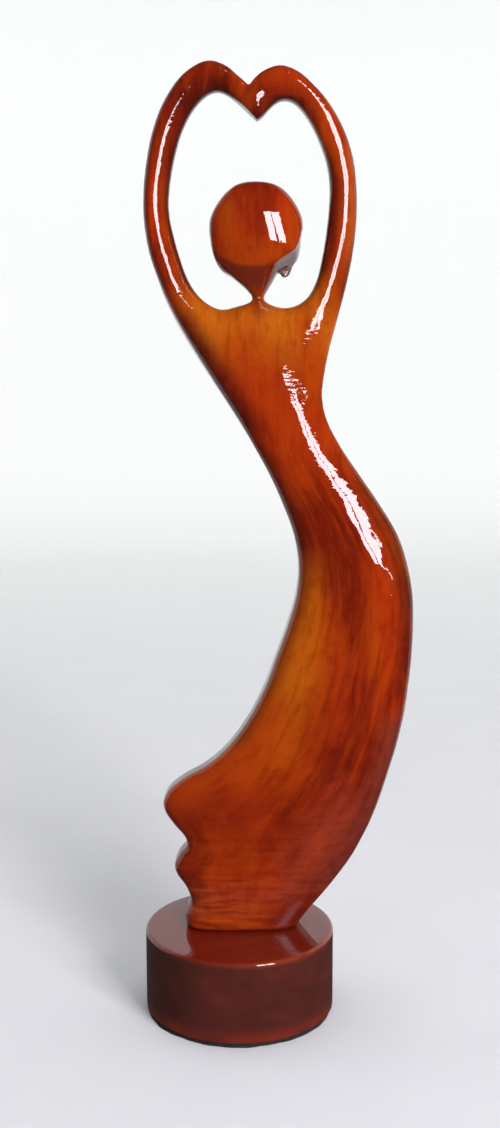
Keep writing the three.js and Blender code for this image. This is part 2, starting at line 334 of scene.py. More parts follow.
# %% Shape the head and neck
HEAD_EDGE = [
    (-2.0, 291.0), (-2.0, 294.2), (2.4, 296.2), (5.2, 297.9), (6.1, 299.5), (3.3, 303.2), (0.3, 305.7),
    (-2.9, 308.3), (-5.2, 309.6), (-7.4, 311.7), (-9.2, 315.3), (-10.6, 321.0), (-11.1, 326.0),
    (-10.7, 330.4), (-8.6, 335.0), (-4.4, 340.4),
    (0.4, 343.9), (8.0, 345.1), (14.8, 344.3), (18.9, 342.0), (22.7, 337.8), (25.7, 332.3), (26.6, 328.0),
    (26.3, 321.6), (25.1, 316.1), (23.0, 311.8), (21.6, 309.2), (19.6, 307.8), (18.0, 308.3), (17.4, 310.0),
    (16.2, 309.3), (14.4, 305.9), (12.0, 301.9), (10.8, 299.5), (11.6, 298.0), (14.2, 296.2), (18.0, 294.2),
    (18.0, 291.0)]
DOME_EDGE = [
    (-11.6, 326.0), (-10.6, 320.0), (-9.7, 316.0), (-7.9, 313.7), (-4.2, 312.3), (-0.2, 311.7), (7.1, 311.5),
    (12.2, 312.2), (15.9, 313.8), (19.5, 316.0), (22.4, 317.9), (24.7, 321.0), (26.6, 327.0), (27.5, 332.0),
    (20.0, 347.0), (8.0, 350.0), (-6.0, 347.0), (-12.5, 335.0)]
DOME_CENTRE = (6.6, 325.7)
DOME_FRONT = -9.4         # how far in front of the plinth's axis the ball reaches
DOME_FLATNESS = 64        # twice the radius in the middle of the dome
HEAD_BACK = 15.4
BACK_FLATNESS = 110
HEAD_X, HEAD_LEVEL = 8.0, 328.0
NECK_LEVEL = 299.3
NECK_FRONT, NECK_BACK = 0.6, 6.9
CONE_X = 6.0
CONE_WIDTH = 10.5
CONE_FALL = 0.6           # how steeply the wood falls back below the chin
LEFT_FALL, RIGHT_FALL = 1.4, 3.2
LOBE_HOLLOW = (18.9, 6.5, 310.6)
LOBE_HOLLOW_RADIUS = 1.6


def outside(outline, x, z):
    """The distance to a closed outline, negative inside it."""
    closed = np.vstack([outline, outline[:1]])
    distance = distance_to(closed, x, z)
    return np.where(is_inside(outline, x, z), -distance, distance)


near_x = np.flatnonzero((plank_x > -14) & (plank_x < 30))
near_z = np.flatnonzero((plank_z > 290) & (plank_z < 348))
head_x, head_z = np.meshgrid(plank_x[near_x], plank_z[near_z], indexing="ij")
off_outline = outside(flowing(HEAD_EDGE), head_x, head_z)
below_chin = np.clip(outside(flowing(DOME_EDGE), head_x, head_z), 0, None)
middle = np.exp(-((head_x - CONE_X) / CONE_WIDTH) ** 4)
fall = CONE_FALL * middle + np.where(head_x > HEAD_X, RIGHT_FALL, LEFT_FALL) * (1 - middle)
dome_x, dome_z = head_x - DOME_CENTRE[0], np.clip(head_z, 312, None) - DOME_CENTRE[1]
dome = DOME_FRONT + (dome_x ** 2 + dome_z ** 2 + 0.4 * dome_x * dome_z) / DOME_FLATNESS
fallen = dome + np.clip(fall * below_chin, 0, 14)
front = np.minimum(fallen, NECK_FRONT + 0.7 * (head_z - NECK_LEVEL))
steep = np.where(below_chin > 0, np.sqrt(1 + fall ** 2), 1.0)
back = HEAD_BACK - ((head_x - HEAD_X) ** 2 + (head_z - HEAD_LEVEL) ** 2) / BACK_FLATNESS
back = np.minimum(back, NECK_BACK + 0.95 * np.abs(head_z - NECK_LEVEL))
rim_rounding = 2.4 - 1.2 * smooth_step(head_z, 303, 307) + 3.8 * smooth_step(head_z, 313, 325)
print(f"head from {front.min():.1f} to {back.max():.1f} mm behind the plinth's axis")

# %% Join the head to the body
head_y = plank_y[None, :, None]
front_gap = (front[:, None, :] - head_y) / steep[:, None, :]
back_gap = (head_y - back[:, None, :]) * 0.8
head = blend_high(off_outline[:, None, :], front_gap, rim_rounding[:, None, :])
head = blend_high(head, back_gap, rim_rounding[:, None, :])
hollow_x, hollow_y, hollow_z = LOBE_HOLLOW
hollow = np.sqrt((head_x[:, None, :] - hollow_x) ** 2 + (head_z[:, None, :] - hollow_z) ** 2
                 + (head_y - hollow_y) ** 2)
head = blend_high(head, LOBE_HOLLOW_RADIUS - hollow, 0.5)
block = np.ix_(near_x, np.arange(len(plank_y)), near_z)
solid = body.copy()
solid[block] = blend_low(body[block], head, 2.0)
print("cells inside the wood:", int((solid < 0).sum()))

# %% [markdown]
# ## The skin
#
# The block now says for each cell corner whether it is in the wood and how far from the surface. A
# surface net turns that into a mesh: every cell the surface passes through gets one corner, at the mean
# of the points where the surface crosses the cell's edges, and every crossed edge gets one quad between
# its four cells. A light sanding, a pull towards the neighbours followed by a slightly stronger push
# back, takes out the cell pattern and keeps size. A net of quads suits varnished wood: its corners are
# spread evenly, so reflections run over it without kinks.


# %% Wrap the block in a surface net
def surface_net(field, low, cell):
    """Corners and quads of the surface where the field passes through zero."""
    wood = field < 0
    points, cells, quads = [], [], []
    for axis in range(3):
        near = [slice(None)] * 3
        far = [slice(None)] * 3
        near[axis], far[axis] = slice(0, -1), slice(1, None)
        hit = np.argwhere(wood[tuple(near)] != wood[tuple(far)])
        here = field[tuple(near)][tuple(hit.T)]
        there = field[tuple(far)][tuple(hit.T)]
        crossing = hit.astype(float)
        crossing[:, axis] += here / (here - there)
        ring = []
        for back_u, back_v in ((0, 0), (1, 0), (1, 1), (0, 1)):
            corner = hit.copy()
            corner[:, (axis + 1) % 3] -= back_u
            corner[:, (axis + 2) % 3] -= back_v
            ring.append(np.ravel_multi_index(corner.T, field.shape))
        quad = np.stack(ring, 1)
        cells.append(quad.ravel())
        points.append(np.repeat(crossing, 4, axis=0))
        quads.append(np.where((here > 0)[:, None], quad[:, ::-1], quad))
    used, place = np.unique(np.concatenate(cells), return_inverse=True)
    points = np.concatenate(points)
    count = np.bincount(place)
    centre = np.stack([np.bincount(place, points[:, k]) / count for k in range(3)], 1)
    return np.array(low) + centre * cell, np.searchsorted(used, np.concatenate(quads))


def sanded(points, quads, rounds=6):
    """Pulls every corner towards its neighbours and pushes it back, a few times over."""
    start, end = np.concatenate([quads[:, [k, (k + 1) % 4]] for k in range(4)]).T
    count = np.bincount(start, minlength=len(points))[:, None]
    for pull in (0.5, -0.52) * rounds:
        mean = np.stack([np.bincount(start, points[end, k], len(points)) for k in range(3)], 1) / count
        points = points + pull * (mean - points)
    return points


skin, quads = surface_net(solid, (plank_x[0], plank_y[0], plank_z[0]), CELL)
skin = sanded(skin, quads)
print(f"skin of {len(skin)} corners and {len(quads)} quads")


# %% Make the figure's mesh
def make_piece(name, points_mm, faces, node):
    """Makes a mesh that rides on the part's body and stands in for one node of the plain model."""
    mesh = bpy.data.meshes.new(name)
    mesh.from_pydata((np.asarray(points_mm) / 1000).tolist(), [], [list(map(int, face)) for face in faces])
    mesh.validate()
    mesh.shade_smooth()
    piece = bpy.data.objects.new(name, mesh)
    bpy.context.scene.collection.objects.link(piece)
    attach(piece, "root")
    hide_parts(node)
    print(f"{name}: {len(mesh.vertices)} corners, {len(mesh.polygons)} faces")
    return piece


def keep_distances(piece, points_mm):
    """Stores on every corner how far it is from each pencil line, for the stain."""
    for name, edge in (("to_left", left_edge), ("to_right", right_edge), ("to_hole", hole_edge)):
        distance = distance_to(edge, points_mm[:, 0], points_mm[:, 2])
        layer = piece.data.attributes.new(name, "FLOAT", "POINT")
        layer.data.foreach_set("value", distance.astype(np.float32))


figure = make_piece("carved_figure", skin, quads, "figure")
keep_distances(figure, skin)

# %% [markdown]
# ## The plinth and the felt
#
# The plinth came off a lathe, so its section is drawn once and turned. Only its two rims are softened,
# each by a quarter circle; a modifier could round them too, but in a drawn section their size is plain to
# read. The felt was cut round with scissors, a little small here and a little large there, in short
# straight snips.


# %% Turn the plinth
UPPER_RIM = 1.5
LOWER_RIM = 0.8
PLINTH_SIDES = 192


def quarter(radius, x, z, start, steps=8):
    """A quarter circle round (x, z), counted from the start angle."""
    return [(x + radius * cos(start + k * pi / 2 / steps), z + radius * sin(start + k * pi / 2 / steps))
            for k in range(steps + 1)]


def turned(section, around):
    """Turns a section of (radius, height) points about the axis; the first and last lie on the axis."""
    angles = np.arange(around) * 2 * pi / around
    rings = [[(r * cos(a), r * sin(a), z) for a in angles] for r, z in section[1:-1]]
    points = [(0, 0, section[0][1]), (0, 0, section[-1][1])] + [p for ring in rings for p in ring]
    faces = []
    for k in range(around):
        follow = (k + 1) % around
        faces.append((0, 2 + follow, 2 + k))
        last = 2 + (len(rings) - 1) * around
        faces.append((1, last + k, last + follow))
        for i in range(len(rings) - 1):
            low = 2 + i * around
            faces.append((low + k, low + follow, low + around + follow, low + around + k))
    return points, faces


lower = quarter(LOWER_RIM, plinth_radius - LOWER_RIM, plinth_bottom + LOWER_RIM, -pi / 2)
upper = quarter(UPPER_RIM, plinth_radius - UPPER_RIM, plinth_top - UPPER_RIM, 0)
wall = [(plinth_radius, h) for h in np.linspace(plinth_bottom + 3, plinth_top - 4, 9)]
inner_steps = (10.0, 20.0, 30.0, 36.0)
section = [(0, plinth_bottom)] + [(r, plinth_bottom) for r in inner_steps] + lower + wall + upper
section += [(r, plinth_top) for r in reversed(inner_steps)] + [(0, plinth_top)]
plinth_points, plinth_faces = turned(section, PLINTH_SIDES)
plinth = make_piece("turned_plinth", plinth_points, plinth_faces, "plinth")


# %% Cut the felt
FELT_INSET = 0.45         # how much smaller than the plinth
SNIPS = 110


def felt_radius(angle):
    """Where the scissors went, in millimetres from the middle."""
    wander = 0.2 * sin(7 * angle + 0.6) + 0.15 * sin(13 * angle + 2.1) + 0.12 * sin(29 * angle)
    return plinth_radius - FELT_INSET + wander


snips = [2 * pi * k / SNIPS for k in range(SNIPS)]
levels = [(0.0, -0.15), (0.25, 0.1), (0.95, 0.1), (felt_thick, -0.15)]   # height, and how far it bulges
felt_points = [(0, 0, 0.0), (0, 0, felt_thick)]
for height, out in levels:
    radii = [felt_radius(a) + out for a in snips]
    felt_points += [(radius * cos(a), radius * sin(a), height) for a, radius in zip(snips, radii)]
felt_faces = []
for k in range(SNIPS):
    follow = (k + 1) % SNIPS
    felt_faces.append((0, 2 + follow, 2 + k))
    top = 2 + 3 * SNIPS
    felt_faces.append((1, top + k, top + follow))
    for low in (2, 2 + SNIPS, 2 + 2 * SNIPS):
        felt_faces.append((low + k, low + follow, low + SNIPS + follow, low + SNIPS + k))
felt = make_piece("felt_disc", felt_points, felt_faces, "felt_pad")

# %% [markdown]
# ## A small language for finishes
#
# A finish is a drawing of nodes, but it reads better as arithmetic. A Wire holds one socket, and adding
# or scaling it adds the Math node. A Finish is one material: its node method makes any other node from
# its type, its settings and what goes into its sockets. Colours and vectors never go through a Wire's
# sums, because a Math node would turn them grey; they are mixed by a node of their own.


# %% Hold a socket
class Wire:
    """A shader value that can be used in sums and products."""

    def __init__(self, finish, socket):
        self.finish, self.socket = finish, socket

    def maths(self, operation, *values, clamp=False):
        settings = {"operation": operation, "use_clamp": clamp}
        return self.finish.node("ShaderNodeMath", settings, dict(enumerate(values)))

    def __add__(self, other):
        return self.maths("ADD", self, other)

    def __sub__(self, other):
        return self.maths("SUBTRACT", self, other)

    def __mul__(self, other):
        return self.maths("MULTIPLY", self, other)

    def __truediv__(self, other):
        return self.maths("DIVIDE", self, other)

    def __rsub__(self, other):
        return self.maths("SUBTRACT", other, self)

    def __rtruediv__(self, other):
        return self.maths("DIVIDE", other, self)

    __radd__ = __add__
    __rmul__ = __mul__

    def size(self):
        """The value without its sign."""
        return self.maths("ABSOLUTE", self)

    def held(self):
        """Kept between 0 and 1."""
        return self.maths("ADD", self, 0.0, clamp=True)

    def ramp(self, low, high):
        """A smooth rise from 0 at low to 1 at high."""
        settings = {"interpolation_type": "SMOOTHSTEP", "clamp": True}
        sockets = {"Value": self, "From Min": low, "From Max": high}
        return self.finish.node("ShaderNodeMapRange", settings, sockets)


# %% Gather the nodes of a material
class Finish:
    """One material, built node by node."""

    def __init__(self, name):
        self.material = bpy.data.materials.new(name)
        self.material.use_nodes = True
        self.nodes = self.material.node_tree.nodes
        self.links = self.material.node_tree.links
        self.nodes.clear()

    def node(self, kind, settings=None, sockets=None, output=0):
        """Adds a node from its type, its settings and what its sockets get; returns the wanted output."""
        node = self.nodes.new(kind)
        for name, value in (settings or {}).items():
            setattr(node, name, value)
        for name, value in (sockets or {}).items():
            if isinstance(value, Wire):
                self.links.new(value.socket, node.inputs[name])
            else:
                node.inputs[name].default_value = value
        return Wire(self, node.outputs[output]) if len(node.outputs) else None

    def place(self):
        """The point on the piece, in millimetres."""
        metres = self.node("ShaderNodeTexCoord", output="Object")
        return self.node("ShaderNodeVectorMath", {"operation": "SCALE"}, {0: metres, "Scale": 1000.0})

    def axes(self, place):
        """The three coordinates of a point, one Wire each."""
        return [self.node("ShaderNodeSeparateXYZ", {}, {0: place}, axis) for axis in "XYZ"]

    def noise(self, place, stretch, detail=2.0, roughness=0.5):
        """A soft grey noise; stretch gives its size in millimetres along each axis."""
        scale = tuple(1 / size for size in stretch)
        vector = self.node("ShaderNodeVectorMath", {"operation": "MULTIPLY"}, {0: place, 1: scale})
        sockets = {"Vector": vector, "Scale": 1.0, "Detail": detail, "Roughness": roughness}
        return self.node("ShaderNodeTexNoise", {}, sockets)

    def mix(self, below, above, amount, blend="MIX"):
        """Lays one colour over another; blend says how."""
        settings = {"data_type": "RGBA", "blend_type": blend}
        return self.node("ShaderNodeMix", settings, {"Factor": amount, 6: below, 7: above}, 2)

    def bump(self, height, distance):
        """Waves in the surface; the distance is what a height of 1 stands for, in metres."""
        return self.node("ShaderNodeBump", {}, {"Height": height, "Distance": distance, "Strength": 1.0})

    def done(self, piece, **sockets):
        """Closes the material with its shader and puts it on the piece."""
        titles = {name: name.replace("_", " ").title().replace("Ior", "IOR") for name in sockets}
        named = {titles[name]: value for name, value in sockets.items()}
        shader = self.node("ShaderNodeBsdfPrincipled", {}, named)
        self.node("ShaderNodeOutputMaterial", {}, {"Surface": shader})
        piece.data.materials.clear()
        piece.data.materials.append(self.material)
        print(f"{self.material.name}: {len(self.nodes)} nodes")


# %% Turn a screen colour into light
def colour(red, green, blue):
    """A colour as it looks on a screen, 0 to 255, turned into the light it stands for."""
    parts = [c / 255 for c in (red, green, blue)]
    return (*(c / 12.92 if c < 0.04 else ((c + 0.055) / 1.055) ** 2.4 for c in parts), 1.0)


# %% [markdown]
# ## Staining the figure
#
# The stain was sprayed or rubbed on in patches, like the burst on a guitar: honey where the wood was left
# light, then orange, red-brown and near-black red, each with soft borders. A stroke here is a soft
# capsule between two points of the plank, so the list below reads like a painter's notes: where the
# stroke starts and ends, how wide it is, which colour, how much. Most strokes are stain. The dark ones on
# the inner slopes of the arms and lobes are partly painted shade, and a rose one low on the skirt is a
# painted reflection of pale paper. A second list follows the pencil lines, because stain gathers along a
# rounded edge. Along the hole that dark is partly painted shade, and low on the right edge it carries a
# painted greyish reflection. Wood drinks stain unevenly along its fibres, so the place is stirred a little
# with a streaky noise before the strokes are laid, and fine streaks run through the whole.

# %% Mix the stains
HONEY = colour(149, 71, 5)
ORANGE = colour(139, 48, 4)
RED_ORANGE = colour(136, 38, 4)
RED_BROWN = colour(108, 26, 4)
DARK_RED = colour(90, 18, 4)
MAROON = colour(66, 13, 6)
BARK = colour(96, 41, 8)
AMBER = colour(158, 80, 12)
CARAMEL = colour(146, 60, 16)
# darker edge stain mixed with a painted greyish reflection
DARK_EDGE_AND_SHEEN = colour(88, 36, 29)
# a painted pinkish reflection of pale paper, not a stain
ROSE_REFLECTION = colour(134, 52, 34)

STROKES = [
    # the skirt, from the hem up
    ((-25, 86), (50, 74), 28, DARK_RED, 0.6), ((38, 135), (44, 95), 26, DARK_RED, 0.85),
    ((-6, 50), (12, 54), 11, RED_ORANGE, 0.7), ((-18, 40), (4, 38), 8, ORANGE, 0.8),
    ((-29, 96), (-12, 102), 8, ORANGE, 0.6), ((0, 110), (22, 108), 11, ORANGE, 0.7),
    # the first stroke on the next line, in rose, is a painted reflection of pale paper low on the skirt
    ((24, 60), (44, 86), 12, ROSE_REFLECTION, 0.45), ((5, 86), (7, 86), 9, RED_ORANGE, 0.4),
    ((-10, 69), (4, 67), 10, ORANGE, 0.35), ((21, 38), (29, 50), 8, DARK_RED, 0.85),
    ((39, 184), (41, 164), 7, RED_ORANGE, 0.35), ((30, 184), (27, 152), 11, HONEY, 0.95),
    ((27, 152), (15, 126), 12, HONEY, 1.0), ((15, 126), (2, 112), 11, ORANGE, 0.85),
    ((38, 172), (32, 125), 8, ORANGE, 0.6), ((45, 190), (48, 166), 7, DARK_RED, 0.9),
    ((43, 160), (41, 146), 6, ORANGE, 0.6), ((55, 182), (57, 148), 7, ORANGE, 0.85),
    ((63, 180), (64, 150), 6, RED_ORANGE, 0.7), ((42, 150), (40, 125), 6, RED_ORANGE, 0.6),
    ((61, 132), (65, 118), 6, RED_ORANGE, 0.6),
    # the hip and the waist
    ((26, 219), (29, 205), 14, DARK_RED, 0.65), ((19, 246), (25, 224), 8, ORANGE, 0.45),
    ((38, 207), (46, 186), 14, DARK_RED, 0.88), ((55, 200), (58, 182), 8, RED_ORANGE, 0.7),
    ((50, 238), (66, 206), 9, BARK, 0.9), ((67, 206), (72, 178), 7, BARK, 0.9),
    ((37, 262), (47, 240), 8, ORANGE, 0.85), ((10, 262), (24, 240), 12, RED_ORANGE, 0.7),
    # the chest
    ((-16, 291), (34, 289), 14, AMBER, 1.0), ((28, 286), (31, 268), 8, ORANGE, 0.85),
    ((4, 276), (14, 262), 12, RED_ORANGE, 0.6), ((8, 304), (8, 297), 5, RED_BROWN, 0.8),
    # the arms
    # the maroon and dark red strokes on the inner slopes of the arms' tops and the lobes are stain and also
    # painted shade, where those slopes face inwards and down
    ((-28, 340), (-20, 306), 6, ORANGE, 0.7), ((-27, 355), (-21, 374), 8, MAROON, 0.6),
    ((-24, 377), (-4, 383), 9, DARK_RED, 0.9), ((-20, 375), (-6, 381), 5, MAROON, 0.9),
    ((-14, 390), (-2, 389), 4, RED_BROWN, 0.5), ((-30, 304), (-24, 292), 6, DARK_RED, 0.7),
    ((0, 382), (5, 376), 4, ORANGE, 0.6), ((8, 370), (6, 378), 3, MAROON, 0.6),
    ((12, 376), (26, 375), 5, MAROON, 0.7), ((14, 388), (30, 383), 6, RED_ORANGE, 0.7),
    ((32, 368), (38, 350), 5, ORANGE, 0.7), ((46, 358), (46, 312), 6, CARAMEL, 0.95),
    ((42, 308), (38, 296), 6, RED_BROWN, 0.5),
    # the head
    ((-8, 330), (-5, 318), 7, RED_ORANGE, 0.6), ((-4, 332), (-2, 317), 5, HONEY, 0.3),
    ((-2, 315), (15, 316), 5, ORANGE, 0.85), ((23, 332), (22, 320), 4, ORANGE, 0.8),
]

# which edge, from which height to which, how wide, which stain, how much
EDGES = [
    ("to_left", 108, 200, 7, BARK, 0.7), ("to_left", 238, 300, 13, MAROON, 0.97),
    ("to_left", 190, 250, 8, MAROON, 0.9), ("to_left", 296, 372, 4, MAROON, 0.7),
    # low on the right edge the colour is darker stain with a painted greyish reflection of pale paper
    ("to_right", 130, 195, 9, MAROON, 0.9), ("to_right", 50, 134, 14, DARK_EDGE_AND_SHEEN, 0.85),
    # along the hole's edge the maroon is stain and also painted shade, on slopes that face inwards, away
    # from the light
    ("to_hole", 300, 362, 5, MAROON, 0.8), ("to_hole", 362, 380, 5, MAROON, 0.6)]
print(f"{len(STROKES)} strokes of stain and {len(EDGES)} along the edges")

# %% Spray a stroke
BLEED = 0.6           # heights count less than widths, because stain creeps along the fibres


def sprayed(finish, place, below, strokes):
    """Lays the strokes one over the other on the colour below."""
    for start, end, width, stain, amount in strokes:
        run, rise = end[0] - start[0], (end[1] - start[1]) * BLEED
        length = run * run + rise * rise
        offset = finish.node("ShaderNodeVectorMath", {"operation": "SUBTRACT"},
                             {0: place, 1: (start[0], 0, start[1] * BLEED)})
        along = finish.node("ShaderNodeVectorMath", {"operation": "DOT_PRODUCT"},
                            {0: offset, 1: (run / length, 0, rise / length)}, "Value").held()
        nearest = finish.node("ShaderNodeVectorMath", {"operation": "SCALE"},
                              {0: (run, 0, rise), "Scale": along})
        away = finish.node("ShaderNodeVectorMath", {"operation": "DISTANCE"},
                           {0: offset, 1: nearest}, "Value")
        mist = 1 - away.ramp(0, width * 1.25)
        below = finish.mix(below, stain, mist * amount)
    return below


# %% [markdown]
# ## Fibres
#
# Every streak of the finish follows the wood. In the skirt the fibres seem to bend with the form, so the
# place across it is measured in shares of the way from the left edge to the right one. Above the waist it
# is measured straight across. Noise that is stretched along this place gives fine fibres, longer strands
# and broad veils. Near the hem the cloth that rubbed the stain in went from side to side, so a second
# noise lies across the first.

# %% Find the fibres
SKIRT_WIDTH = 55      # millimetres that stand for the whole way from edge to edge
burst = Finish("sunburst_figure")
spot = burst.place()
x, y, z = burst.axes(spot)
from_edge = {name: burst.node("ShaderNodeAttribute", {"attribute_name": name}, {}, "Fac")
             for name in ("to_left", "to_right", "to_hole")}
sideways = from_edge["to_left"] / (from_edge["to_left"] + from_edge["to_right"])
skirt = 1 - z.ramp(215, 250)
hem = 1 - z.ramp(70, 105)
foot = 1 - z.ramp(50, 66)
form_x = sideways * SKIRT_WIDTH * skirt + x * (1 - skirt)
along_form = burst.node("ShaderNodeCombineXYZ", {}, {"X": form_x, "Y": y, "Z": z})
fibres = burst.noise(along_form, (2.4, 9.0, 24.0), 4.0, 0.6)
strands = burst.noise(along_form, (3.4, 9.0, 40.0), 3.0, 0.55)
broad = burst.noise(along_form, (7.0, 14.0, 46.0), 3.0, 0.55)
rubbed = burst.noise(spot, (20.0, 9.0, 2.4), 4.0, 0.6)
streaks = fibres * (1 - hem) + rubbed * hem
print(f"fibres found with {len(burst.nodes)} nodes")

# %% [markdown]
# ## Laying the stain
#
# The ground is laid first, red-brown and red-orange in broad veils, then the strokes, then dark and
# bright strands in the skirt. The edges come last, because a dark edge was sprayed over everything else.
# Along the hole this dark is also painted shade. The head has no such edge, so the dark along the hole is
# kept off it.

# %% Spray the ground, the strokes and the strands
off_top = 1 - z.ramp(290, 310)
stir_x = ((broad - 0.5) * 12 + (fibres - 0.5) * 6) * (0.4 + 0.6 * off_top)
stir_z = (rubbed - 0.5) * 8
plank_place = burst.node("ShaderNodeCombineXYZ", {}, {"X": x + stir_x, "Z": (z + stir_z) * BLEED})
ground = burst.mix(RED_BROWN, RED_ORANGE, broad.ramp(0.35, 0.65))
stain = sprayed(burst, plank_place, ground, STROKES)
in_skirt = (1 - hem) * skirt
stain = burst.mix(stain, DARK_RED, strands.ramp(0.5, 0.64) * in_skirt * sideways.ramp(0.25, 0.5) * 0.45)
stain = burst.mix(stain, RED_ORANGE, strands.ramp(0.48, 0.36) * in_skirt * sideways.ramp(0.3, 0.6) * 0.4)
print(f"ground and strokes laid with {len(burst.nodes)} nodes")

# %% Spray the edges
EDGE_FADE = 12        # millimetres in which the stain along an edge sets in and ends
off_head = (x - HEAD_X + (y - PLANK_CENTRE) * 0.1).size().ramp(18.5, 20.5)
off_head = 1 - (1 - off_head) * z.ramp(300, 304) * (1 - z.ramp(345, 350))
for name, low, high, width, tint, amount in EDGES:
    along = z.ramp(low, low + EDGE_FADE) * (1 - z.ramp(high - EDGE_FADE, high))
    mist = 1 - (from_edge[name] + (fibres - 0.5) * 5).ramp(width * 0.1, width)
    if name == "to_hole":
        mist = mist * (0.25 + 0.75 * x.ramp(0, 15)) * off_head
    stain = burst.mix(stain, tint, mist * along * amount)
print(f"stained with {len(burst.nodes)} nodes")

# %% [markdown]
# ## Streaks and blotches
#
# Bare wood drinks unevenly. Where a fibre is open it soaks up more and darkens, where it is dense the
# orange ground shines through, and soft blotches do the same on a larger scale. On the foot, dark and
# honey streaks cross each other. Darkening is a Mix node set to multiply: it keeps the hue of what lies
# below.

# %% Let the wood drink
soaked = burst.mix(stain, colour(180, 120, 100), streaks.ramp(0.45, 0.8) * 0.45, "MULTIPLY")
lit = burst.mix(soaked, ORANGE, streaks.ramp(0.5, 0.2) * 0.25)
blotch = burst.noise(along_form, (5.0, 9.0, 10.0), 5.0, 0.65)
lit = burst.mix(lit, colour(200, 150, 135), blotch.ramp(0.46, 0.7) * 0.5, "MULTIPLY")
lit = burst.mix(lit, ORANGE, blotch.ramp(0.5, 0.3) * 0.22)
lit = burst.mix(lit, DARK_RED, rubbed.ramp(0.5, 0.62) * foot * 0.5)
honey_side = 1 - x.ramp(-12, 22) * 0.8
lit = burst.mix(lit, HONEY, rubbed.ramp(0.48, 0.36) * foot * honey_side * 0.4)
print(f"streaked with {len(burst.nodes)} nodes")

# %% [markdown]
# ## Under the chin and along the sawn sides
#
# The cone under the chin is painted darker than the ball above it: painted shade, where the cone faces
# down. The border between them is the chin line, a shallow curve. The lobe that hangs beside the cone is
# painted grey, a painted reflection of pale paper. The sawn sides drank the most stain and are nearly
# black-red, except at the neck, which is round and has no sides. Under the lobes this dark is also
# painted shade.

# %% Paint the shade under the chin, the lobe's reflection and the dark sides
CHIN_X = 7
CHIN_LEVEL = 311.8
from_middle = (x - CHIN_X) * (x - CHIN_X)
chin = CHIN_LEVEL + from_middle / 60 + from_middle * from_middle / 30000
underside = 1 - (z - chin).ramp(-1.3, 0.8)
neck_side = underside * z.ramp(300.0, 305.0)
# painted shade: the cone below the chin line is darkened
chin_shade = (1 - (x - HEAD_X).size().ramp(17, 19)) * neck_side
wood = burst.mix(lit, colour(84, 24, 14), chin_shade * 0.85)
# painted reflection: the lobe beside the cone is greyed, as if it mirrored pale paper
lobe = x.ramp(14.5, 17.0) * (1 - x.ramp(27, 30)) * z.ramp(303, 306) * (1 - z.ramp(320, 326)) * underside
wood = burst.mix(wood, colour(104, 84, 78), lobe * 0.75)
# the sawn sides are darkened: dark stain, and under the lobes also painted shade
sawn = 1 - (y - PLANK_CENTRE).size().ramp(2.4, 4.8)
neck = (1 - (x - HEAD_X).size().ramp(13, 17)) * z.ramp(291, 295) * (1 - z.ramp(305, 310))
wood = burst.mix(wood, colour(52, 15, 8), sawn * (1 - neck) * 0.85)
print(f"shaded with {len(burst.nodes)} nodes")

# %% [markdown]
# ## Varnish
#
# Thick varnish is a smooth, clear skin, so one glossy layer is enough: a low roughness and the refraction
# of lacquer. What tells it from glass is how it was laid. The brush dragged small waves across it, it
# sagged a little, and specks of dust dried in it. All three go into one bump, and they are what frays the
# long reflections. The skirt and the head are smoother than the arms and the waist. The foot is duller,
# as if handling had rubbed its gloss away.

# %% Varnish the figure
VARNISH_WAVE = 0.00006     # metres
DUST_SPACING = 9.0         # millimetres
drag = burst.noise(spot, (3.6, 3.6, 1.3), 1.5, 0.5)
sag = burst.noise(spot, (9.0, 9.0, 6.0), 2.0)
cells = burst.node("ShaderNodeVectorMath", {"operation": "SCALE"}, {0: spot, "Scale": 1 / DUST_SPACING})
nearest_dust = burst.node("ShaderNodeTexVoronoi", {}, {"Vector": cells, "Scale": 1.0}, "Distance")
dust = 1 - nearest_dust.ramp(0.02, 0.055)
on_head = (1 - (x - HEAD_X).size().ramp(18.0, 20.5)) * z.ramp(303, 308) * (1 - z.ramp(345, 352))
brushiness = (0.2 + 0.8 * z.ramp(195, 245)) * (1 - 0.3 * z.ramp(290, 300)) * (1 - 0.85 * on_head)
skin_waves = burst.bump(drag * brushiness * 2.4 + sag * 0.8 + dust * 1.5, VARNISH_WAVE)
gloss = 0.025 + (fibres - 0.5).held() * 0.03 + foot * 0.22
burst.done(figure, base_color=wood, roughness=gloss, ior=1.52, normal=skin_waves)

# %% [markdown]
# ## The plinth's finish
#
# The plinth was stained much darker than the dancer, a cloudy brown on its side and a clearer red on its
# top, and it got the same thick varnish. The side is painted darker towards the left: painted shade on the
# side away from the window. The upper rim is paler, more so towards the right, and the lower edge is painted
# paler, a painted glow of light from the pale floor. The rim and the edge are each one soft band of height,
# broken up by the clouds.

# %% Stain and varnish the plinth
dark = Finish("dark_plinth")
spot = dark.place()
x, y, z = dark.axes(spot)
clouds = dark.noise(spot, (16.0, 16.0, 9.0), 4.0, 0.6)
grain = dark.noise(spot, (26.0, 26.0, 1.6), 4.0, 0.6)
# painted shade: the side darkens towards the left, away from the window
wood = dark.mix(colour(54, 28, 23), colour(66, 28, 23), x.ramp(-38, -8))
wood = dark.mix(wood, colour(52, 23, 19), clouds.ramp(0.5, 0.7) * 0.6)
wood = dark.mix(wood, colour(100, 38, 26), clouds.ramp(0.5, 0.3) * 0.3)
wood = dark.mix(wood, colour(104, 16, 4), z.ramp(34.6, 35.1) * 0.75)
# the upper rim is paler, more so towards the right
on_rim = z.ramp(32.5, 35.0) * (1 - z.ramp(35.3, 35.6))
pale_right_rim = on_rim * (0.1 + 0.9 * x.ramp(-30, 30)) * clouds.ramp(0.25, 0.5)
wood = dark.mix(wood, colour(134, 54, 22), pale_right_rim * 0.6)
